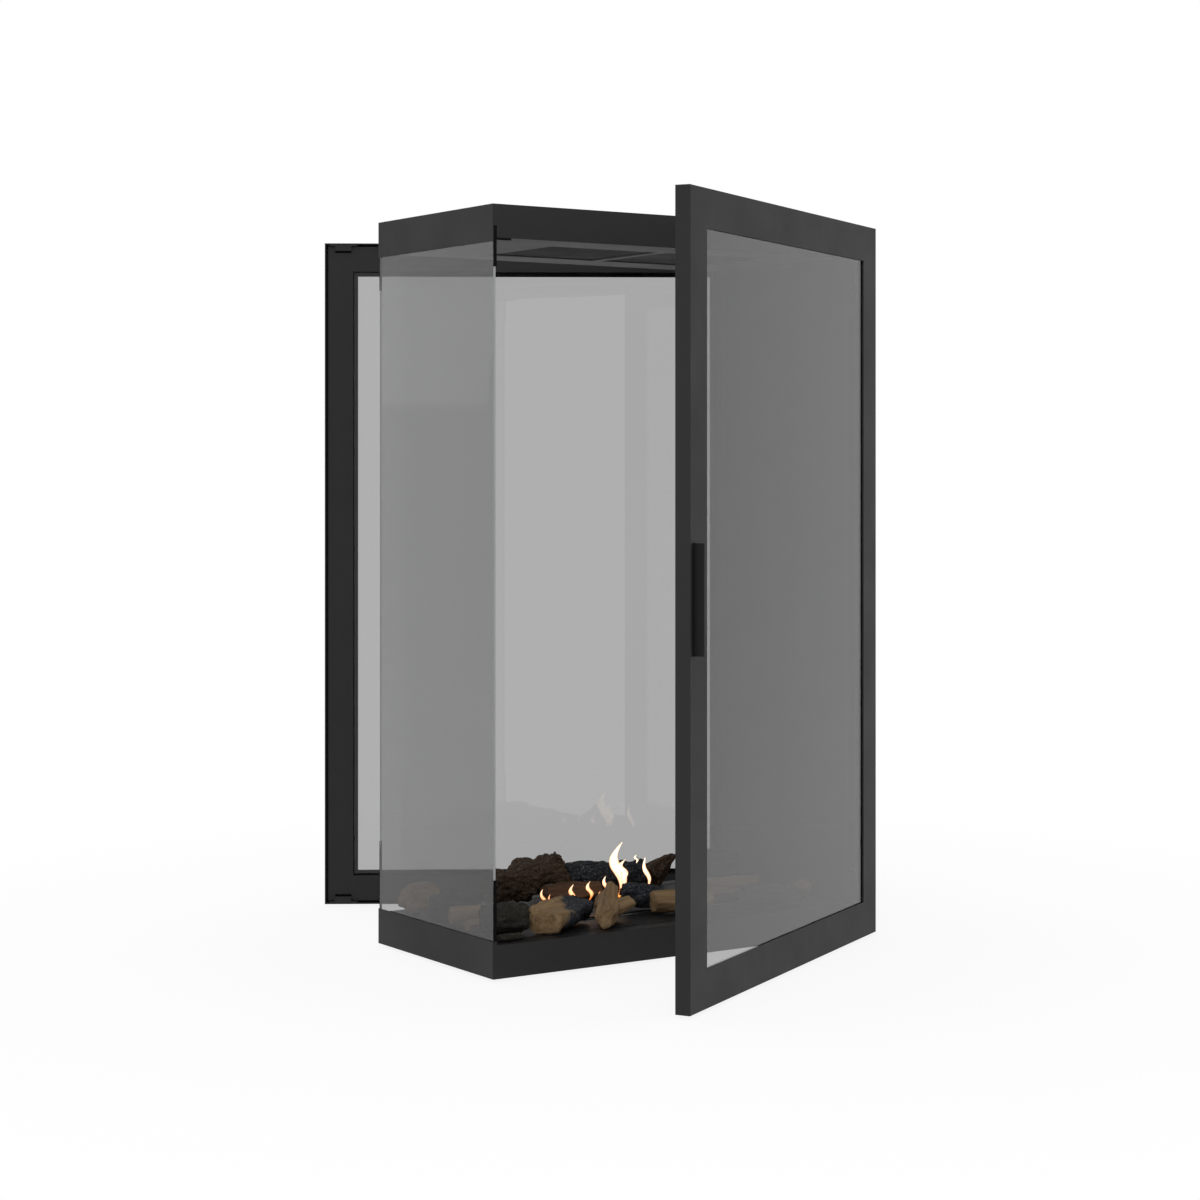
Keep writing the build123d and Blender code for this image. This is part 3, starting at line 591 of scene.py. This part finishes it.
logs = {
    "log_front_left": [dict(allBark, start=(-322, -96, 77), finish=(-258, -114, 76), radius=0.024,
                            skin="olive", heart="olive", seed=3, squash=1.0, splits=[])],
    "log_front_centre": [dict(farEndChar, start=(-246, -136, 77), finish=(-136, -74, 82),
                              radius=0.026, skin="tan", heart="pale", seed=5,
                              splits=[((0, -0.25, 1), 0.013), ((-1, -0.45, -0.1), 0.052)])],
    "log_front_right": [dict(allBark, start=(-144, -148, 72), finish=(-92, -84, 84),
                             radius=0.021, skin="tan", heart="pale", seed=8,
                             splits=[((0, -0.7, 0.7), 0.014)], girth=flaredGirth),
                        dict(allBark, branch=True, start=(-112, -106, 76), finish=(-84, -76, 106),
                             radius=0.012, skin="tan", heart="pale", seed=9,
                             splits=[((0, -0.7, 0.7), 0.008)]),
                        dict(allBark, branch=True, start=(-118, -114, 74), finish=(-62, -96, 80),
                             radius=0.013, skin="tan", heart="pale", seed=10,
                             splits=[((0, -0.6, 0.8), 0.009)])],
    "log_front_far": [dict(allBark, start=(-12, -84, 72), finish=(82, -108, 70), radius=0.017,
                           skin="tan", heart="pale", seed=11, splits=[((0, -0.6, 0.8), 0.011)])],
    "log_left_tan": [dict(allBark, start=(-330, -22, 84), finish=(-243, -46, 86), radius=0.018,
                          skin="tan", heart="pale", seed=13, splits=[((0, -0.3, 1), 0.010)])],
    "log_back_left": [dict(allBark, start=(-190, 97, 90), finish=(-56, 118, 90), radius=0.034,
                           skin="brown", heart="brown", seed=17, splits=[], girth=twoLobes)],
    "log_back_centre": [dict(allChar, start=(-42, 122, 80), finish=(104, 116, 82), radius=0.027,
                             skin="umber", heart="umber", seed=19, splits=[])],
    "log_back_pointed": [dict(nearEndChar, start=(116, 112, 76), finish=(172, 120, 108),
                              radius=0.021, skin="umber", heart="umber", seed=23, splits=[],
                              girth=pointedGirth, charToward=(0.6, 0, 0.7), charEdge=0.55)],
    "log_middle_split": [dict(allBark, start=(-122, 48, 80), finish=(-14, 60, 80), radius=0.016,
                              skin="brown", heart="redwood", seed=29,
                              splits=[((0, -0.85, 0.5), 0.008)])],
    "log_middle_grey": [dict(allChar, start=(-40, -38, 84), finish=(26, -56, 80), radius=0.019,
                             skin="umber", heart="umber", seed=31, splits=[])],
    "log_right_plank": [dict(allBark, start=(118, -14, 76), finish=(222, -34, 76), radius=0.018,
                             skin="tan", heart="pale", seed=37,
                             splits=[((0, -1, 0.15), 0.008), ((0, 0, 1), 0.014)])],
    "log_right_bark": [dict(allBark, start=(196, 110, 82), finish=(288, 116, 80), radius=0.027,
                            skin="umber", heart="umber", seed=41, splits=[])],
    "logs_right_front": [dict(nearEndChar, start=(136, -104, 73), finish=(208, -124, 72),
                              radius=0.018, skin="olive", heart="tan", seed=43, splits=[]),
                         dict(nearEndChar, start=(226, -116, 70), finish=(286, -74, 72),
                              radius=0.015, skin="tan", heart="pale", seed=47,
                              splits=[((0, -0.5, 0.8), 0.010)])],
    "logs_left_rear": [dict(allBark, start=(-322, 112, 78), finish=(-274, 128, 78), radius=0.023,
                            skin="tan", heart="pale", seed=53, splits=[((-0.3, -1, 0), 0.014)]),
                       dict(allChar, start=(-326, 40, 82), finish=(-248, 30, 84), radius=0.024,
                            skin="umber", heart="umber", seed=59, splits=[])],
    "kindling": [dict(allBark, start=(-326, -146, 60), finish=(-286, -148, 60), radius=0.007,
                      skin="olive", heart="olive", seed=61, splits=[]),
                 dict(allBark, start=(-326, -66, 66), finish=(-262, -66, 64), radius=0.010,
                      skin="tan", heart="pale", seed=67, splits=[((0, -0.4, 1), 0.006)]),
                 dict(allBark, start=(-208, 10, 66), finish=(-190, 52, 66), radius=0.008,
                      skin="brown", heart="tan", seed=71, splits=[])],
}
logDefaults = {"girth": evenGirth, "squash": 1.0, "splits": [], "branch": False}

# What the logs rest on: the hearth, and over the burner its cover. A branch moves with its trunk.
hearthTop = 0.052
cover = {"top": 0.0555, "x": (-0.2345, 0.2845), "halfDepth": 0.0615}
restGap = 0.0002


def dropOf(piece):
    # how far the log has to come down to rest on the hearth or on the burner's cover
    drop = 1.0
    for vert in piece.data.vertices:
        overX = cover["x"][0] <= vert.co.x <= cover["x"][1]
        overY = abs(vert.co.y) <= cover["halfDepth"]
        drop = min(drop, vert.co.z - (cover["top"] if overX and overY else hearthTop))
    return drop - restGap



for nodeName, stack in logs.items():
    for index, spec in enumerate(stack):
        log = dict(logDefaults, **spec)
        start, finish = Vector(log["start"]) / 1000, Vector(log["finish"]) / 1000
        direction = finish - start
        log["length"] = direction.length
        log["centre"] = (start + finish) / 2
        log["turn"] = direction.to_track_quat("X", "Z").to_euler()
        thin = log["radius"] <= logWork["thinRadius"]
        log["voxel"] = logWork["thinVoxel" if thin else "voxel"]
        barky = skins[log["skin"]]["group"] == barkRidges or log["charEdge"] < -1
        log["ridge"] = log["radius"] * logWork["barkRidge" if barky else "woodRidge"]
        pieceName = nodeName.replace("_", " ").title().replace(" ", "")
        number = "" if len(stack) == 1 else str(index + 1)
        pieceName = pieceName[0].lower() + pieceName[1:] + number
        piece = roughOutLog(pieceName, log)
        if not log["branch"]:
            drop = dropOf(piece)
        deselectAll()
        piece.select_set(True)
        bpy.context.view_layer.objects.active = piece
        bpy.ops.transform.translate(value=(0, 0, -drop))
        bpy.ops.object.transform_apply(location=True, rotation=True, scale=True)
        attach(piece, "casing")
        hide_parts(nodeName)
print("scene: logs laid")


# Flames over the burner mouth

flameLook = {"base": rgb(1.0, 0.13, 0.015), "middle": rgb(1.0, 0.42, 0.07),
             "core": rgb(1.0, 0.88, 0.62), "strength": 2.1}


def makeFlameMaterial():
    material, tree, shader = startMaterial("flame")
    place = placeNode(tree, "ShaderNodeTexCoord", (-1100, 0))
    level = placeNode(tree, "ShaderNodeSeparateXYZ", (-900, 0))
    rise = placeNode(tree, "ShaderNodeMapRange", (-700, 0),
                     values={"From Min": 0.070, "From Max": 0.100})
    streaks = placeNode(tree, "ShaderNodeMapping", (-900, -250), values={"Scale": (160.0, 160.0, 22.0)})
    wisps = placeNode(tree, "ShaderNodeTexNoise", (-700, -250), values={"Scale": 1.0, "Detail": 2.0})
    warm = placeNode(tree, "ShaderNodeMix", (-300, 250), {"data_type": "RGBA"},
                     {6: flameLook["base"], 7: flameLook["middle"]})
    tint = placeNode(tree, "ShaderNodeMix", (-100, 100), {"data_type": "RGBA"},
                     {7: flameLook["core"]})
    heart = placeNode(tree, "ShaderNodeMath", (-300, 0), {"operation": "MULTIPLY"})
    thin = placeNode(tree, "ShaderNodeMapRange", (-500, -250),
                     values={"From Min": 0.34, "From Max": 0.60, "To Min": 0.25, "To Max": 1.0})
    facing = placeNode(tree, "ShaderNodeLayerWeight", (-700, -450), values={"Blend": 0.35})
    body = placeNode(tree, "ShaderNodeMath", (-450, -450), {"operation": "SUBTRACT"}, {0: 1.0})
    cover = placeNode(tree, "ShaderNodeMath", (-250, -350), {"operation": "MULTIPLY"})
    shader.inputs["Base Color"].default_value = rgb(0.02, 0.01, 0.005)
    shader.inputs["Roughness"].default_value = 1.0
    shader.inputs["Specular IOR Level"].default_value = 0.0
    shader.inputs["Emission Strength"].default_value = flameLook["strength"]
    link = tree.links.new
    link(place.outputs["Object"], level.inputs["Vector"])
    link(place.outputs["Object"], streaks.inputs["Vector"])
    link(streaks.outputs["Vector"], wisps.inputs["Vector"])
    link(level.outputs["Z"], rise.inputs["Value"])
    link(wisps.outputs["Fac"], warm.inputs[0])
    link(rise.outputs["Result"], heart.inputs[0])
    link(body.outputs["Value"], heart.inputs[1])
    link(heart.outputs["Value"], tint.inputs[0])
    link(warm.outputs[2], tint.inputs[6])
    link(tint.outputs[2], shader.inputs["Emission Color"])
    link(wisps.outputs["Fac"], thin.inputs["Value"])
    link(facing.outputs["Facing"], body.inputs[1])
    link(body.outputs["Value"], cover.inputs[0])
    link(thin.outputs["Result"], cover.inputs[1])
    link(cover.outputs["Value"], shader.inputs["Alpha"])
    return material


# Each flame in millimetres: foot over the burner mouth, height, widest radius and lean along X
flames = [
    {"name": "flameA", "foot": (-157, -4, 64), "height": 30, "radius": 3.4, "lean": -3},
    {"name": "flameB", "foot": (-144, 2, 62), "height": 22, "radius": 2.0, "lean": 2},
    {"name": "flameC", "foot": (-108, -2, 66), "height": 30, "radius": 4.6, "lean": 5},
    {"name": "flameD", "foot": (-73, 0, 68), "height": 30, "radius": 4.4, "lean": 2},
    {"name": "flameE", "foot": (-53, 2, 62), "height": 18, "radius": 2.2, "lean": 2},
    {"name": "flameF", "foot": (-22, -2, 66), "height": 88, "radius": 11.0, "lean": 9},
    {"name": "flameG", "foot": (-12, 2, 92), "height": 34, "radius": 7.5, "lean": 6},
    {"name": "flameH", "foot": (-34, 4, 66), "height": 36, "radius": 5.0, "lean": -6},
    {"name": "flameI", "foot": (35, 0, 76), "height": 50, "radius": 4.6, "lean": -3},
    {"name": "flameJ", "foot": (14, 0, 118), "height": 13, "radius": 2.6, "lean": 1},
]
# share of the height, share of the widest radius
flameRings = [(0.14, 0.32), (0.30, 0.62), (0.44, 0.95), (0.56, 1.0), (0.70, 0.62), (0.84, 0.36),
              (1.0, 0.05)]
flameMaterial = makeFlameMaterial()


def raiseFlame(flame):
    foot = Vector(flame["foot"]) / 1000
    height, radius = flame["height"] / 1000, flame["radius"] / 1000
    lean = flame["lean"] / 1000
    rng = random.Random(flame["name"])
    deselectAll()
    bpy.ops.mesh.primitive_circle_add(vertices=10, radius=radius * 0.25, fill_type="NGON",
                                      location=foot)
    piece = bpy.context.object
    piece.name = flame["name"]
    bpy.ops.object.mode_set(mode="EDIT")
    bpy.ops.mesh.select_all(action="SELECT")
    level, girth, across = 0.0, 0.25, 0.0
    for share, swell in flameRings:
        sway = 1.1 * radius * math.sin(2 * math.pi * share)
        bend = lean * share ** 1.5 + sway + rng.uniform(-0.2, 0.2) * radius
        step = (bend - across, rng.uniform(-0.1, 0.1) * radius, (share - level) * height)
        bpy.ops.mesh.extrude_region_move(TRANSFORM_OT_translate={"value": step})
        bpy.ops.transform.resize(value=(swell / girth,) * 2 + (1,))
        level, girth, across = share, swell, bend
    bpy.ops.mesh.select_all(action="SELECT")
    bpy.ops.mesh.normals_make_consistent(inside=False)
    bpy.ops.object.mode_set(mode="OBJECT")
    applyModifier(piece, "SUBSURF", {"levels": 2, "render_levels": 2})
    bpy.ops.object.shade_smooth()
    bpy.ops.object.transform_apply(location=True, rotation=True, scale=True)
    piece.data.materials.append(flameMaterial)
    return piece


for flame in flames:
    piece = raiseFlame(flame)
    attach(piece, "casing")
print("scene: flames raised")


# Floor, world, lamps and camera

studio = {"floorSize": 14.0, "floorKeeps": 0.12, "fade": (0.5, 1.6),
          "worldLight": 0.50}


def makeFloorMaterial():
    material, tree, shader = startMaterial("paleFloor")
    output = tree.nodes["Material Output"]
    place = placeNode(tree, "ShaderNodeTexCoord", (-800, 0))
    mottle = placeNode(tree, "ShaderNodeTexNoise", (-600, 0), values={"Scale": 3.0, "Detail": 3.0})
    tint = placeNode(tree, "ShaderNodeMix", (-300, 0), {"data_type": "RGBA"},
                     {6: rgb(0.90, 0.90, 0.90), 7: rgb(0.94, 0.94, 0.94)})
    glow = placeNode(tree, "ShaderNodeEmission", (0, -200), values={"Strength": 1.0})
    rays = placeNode(tree, "ShaderNodeLightPath", (-300, 400))
    seen = placeNode(tree, "ShaderNodeMath", (-100, 400), {"operation": "MAXIMUM"})
    seenThrough = placeNode(tree, "ShaderNodeMath", (80, 400), {"operation": "MAXIMUM"})
    away = placeNode(tree, "ShaderNodeVectorMath", (-300, 600), {"operation": "LENGTH"})
    keeps = placeNode(tree, "ShaderNodeMapRange", (-100, 600),
                      values={"From Min": studio["fade"][0], "From Max": studio["fade"][1],
                              "To Min": 1.0 - studio["floorKeeps"], "To Max": 1.0})
    share = placeNode(tree, "ShaderNodeMath", (260, 400), {"operation": "MULTIPLY"})
    pick = placeNode(tree, "ShaderNodeMixShader", (450, 100))
    shader.inputs["Roughness"].default_value = 0.9
    link = tree.links.new
    link(place.outputs["Object"], mottle.inputs["Vector"])
    link(mottle.outputs["Fac"], tint.inputs[0])
    link(tint.outputs[2], shader.inputs["Base Color"])
    link(rays.outputs["Is Camera Ray"], seen.inputs[0])
    link(rays.outputs["Is Glossy Ray"], seen.inputs[1])
    link(seen.outputs["Value"], seenThrough.inputs[0])
    link(rays.outputs["Is Transmission Ray"], seenThrough.inputs[1])
    link(place.outputs["Object"], away.inputs[0])
    link(away.outputs["Value"], keeps.inputs["Value"])
    link(keeps.outputs["Result"], share.inputs[1])
    link(seenThrough.outputs["Value"], share.inputs[0])
    link(share.outputs["Value"], pick.inputs["Fac"])
    link(shader.outputs["BSDF"], pick.inputs[1])
    link(glow.outputs["Emission"], pick.inputs[2])
    link(pick.outputs["Shader"], output.inputs["Surface"])
    return material


deselectAll()
bpy.ops.mesh.primitive_plane_add(size=studio["floorSize"], location=(0, 0, 0))
floor = bpy.context.object
floor.name = "floor"
floor.data.materials.append(makeFloorMaterial())

world = bpy.data.worlds.new("studioWorld")
bpy.context.scene.world = world
world.use_nodes = True
sky = world.node_tree
background = sky.nodes["Background"]
background.inputs["Color"].default_value = rgb(1, 1, 1)
skyRays = placeNode(sky, "ShaderNodeLightPath", (-700, 0))
skySeen = placeNode(sky, "ShaderNodeMath", (-500, 100), {"operation": "MAXIMUM"})
skyThrough = placeNode(sky, "ShaderNodeMath", (-300, 0), {"operation": "MAXIMUM"})
skyStrength = placeNode(sky, "ShaderNodeMapRange", (-150, 0),
                        values={"To Min": studio["worldLight"], "To Max": 1.0})
sky.links.new(skyRays.outputs["Is Camera Ray"], skySeen.inputs[0])
sky.links.new(skyRays.outputs["Is Glossy Ray"], skySeen.inputs[1])
sky.links.new(skySeen.outputs["Value"], skyThrough.inputs[0])
sky.links.new(skyRays.outputs["Is Transmission Ray"], skyThrough.inputs[1])
sky.links.new(skyThrough.outputs["Value"], skyStrength.inputs["Value"])
sky.links.new(skyStrength.outputs["Result"], background.inputs["Strength"])

lamps = [
    {"name": "keyLamp", "spot": (-2.2, -2.6, 2.6), "aim": (0, 0, 0.5), "size": 2.0, "power": 42},
    {"name": "fillLamp", "spot": (2.8, -2.2, 1.8), "aim": (0, 0, 0.5), "size": 2.4, "power": 16},
    {"name": "topLamp", "spot": (0.2, 0.4, 3.6), "aim": (0, 0, 0.5), "size": 2.4, "power": 20},
    {"name": "backLamp", "spot": (-1.0, 3.0, 2.0), "aim": (0, 0, 0.5), "size": 2.4, "power": 14},
]
for lamp in lamps:
    light = bpy.data.lights.new(lamp["name"], "AREA")
    light.shape = "SQUARE"
    light.size = lamp["size"]
    light.energy = lamp["power"]
    holder = bpy.data.objects.new(lamp["name"], light)
    holder.location = lamp["spot"]
    holder.visible_glossy = False  # polished faces and glass show the plain white room
    toAim = Vector(lamp["aim"]) - Vector(lamp["spot"])
    holder.rotation_euler = toAim.to_track_quat("-Z", "Y").to_euler()
    bpy.context.collection.objects.link(holder)

view = {"spot": (-2.21535, -3.25678, 0.7244), "turn": (90.0, 0.0, -33.58), "lens": 76.35,
        "sensor": 36.0, "shiftY": -0.1067}
camera = bpy.data.objects.new("camera", bpy.data.cameras.new("camera"))
camera.location = view["spot"]
camera.rotation_euler = [math.radians(angle) for angle in view["turn"]]
camera.data.lens = view["lens"]
camera.data.sensor_width = view["sensor"]
camera.data.shift_y = view["shiftY"]
camera.data.clip_end = 100.0
bpy.context.collection.objects.link(camera)
bpy.context.scene.camera = camera
bpy.context.scene.view_settings.view_transform = "Standard"
print("scene: studio set")
